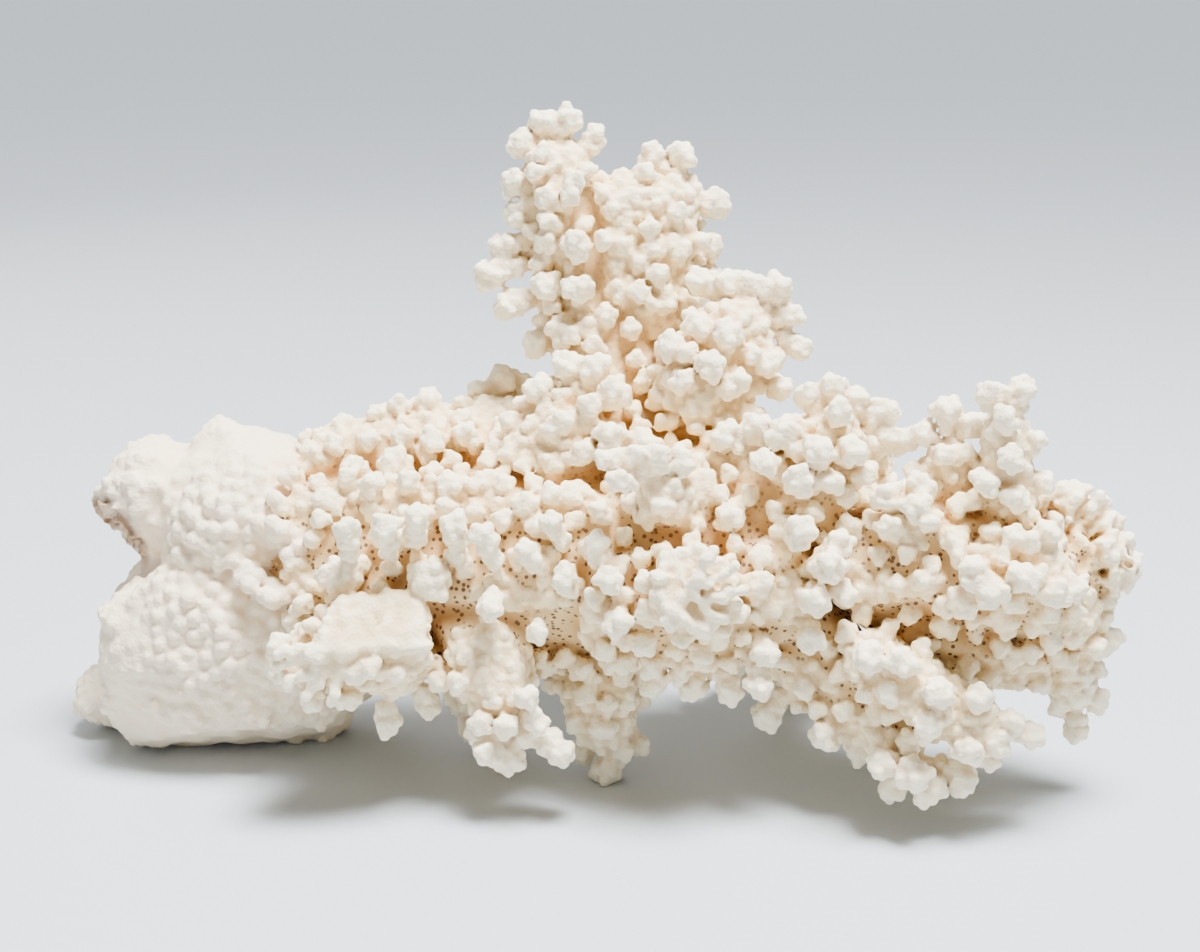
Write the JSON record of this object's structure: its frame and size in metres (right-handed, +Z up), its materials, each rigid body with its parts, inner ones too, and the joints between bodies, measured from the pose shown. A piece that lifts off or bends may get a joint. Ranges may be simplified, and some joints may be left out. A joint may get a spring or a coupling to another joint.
{
  "type": "branching coral",
  "caption": "Bleached stony coral skeleton lying on its side: a smooth attachment base, a thick trunk, and lobes of knobbly blunt branchlets that rise and hang from it.",
  "frame": {"origin": "middle of the small flat cut under the base, on which the base rests", "axes": "+Z up as the coral lies, +X along the trunk from the base to the far end, +Y away from the pictured side"},
  "size_m": [0.2775, 0.1141, 0.171],
  "materials": {
    "base_skeleton": "matt, chalky, faint pink-cream",
    "branch_skeleton": "matt, chalky, cream-white with tan recesses and small brown pores"
  },
  "bodies": {
    "root": {"base": "base_skeleton", "trunk": "branch_skeleton", "overhang": "branch_skeleton", "upper_branch": "branch_skeleton", "end_branch": "branch_skeleton", "end_fan": "branch_skeleton", "end_stalk": "branch_skeleton", "end_plate": "branch_skeleton", "hanging_branch": "branch_skeleton", "lower_branch": "branch_skeleton", "lower_front_branch": "branch_skeleton", "front_fan": "branch_skeleton", "rear_fan": "branch_skeleton", "low_left_fan": "branch_skeleton", "left_plate": "branch_skeleton", "middle_lobe": "branch_skeleton", "crown": "branch_skeleton", "crown_side": "branch_skeleton", "shoulder": "branch_skeleton", "back_left_branch": "branch_skeleton", "back_branch": "branch_skeleton", "back_right_branch": "branch_skeleton", "back_foot_branch": "branch_skeleton"}
  },
  "joints": []
}
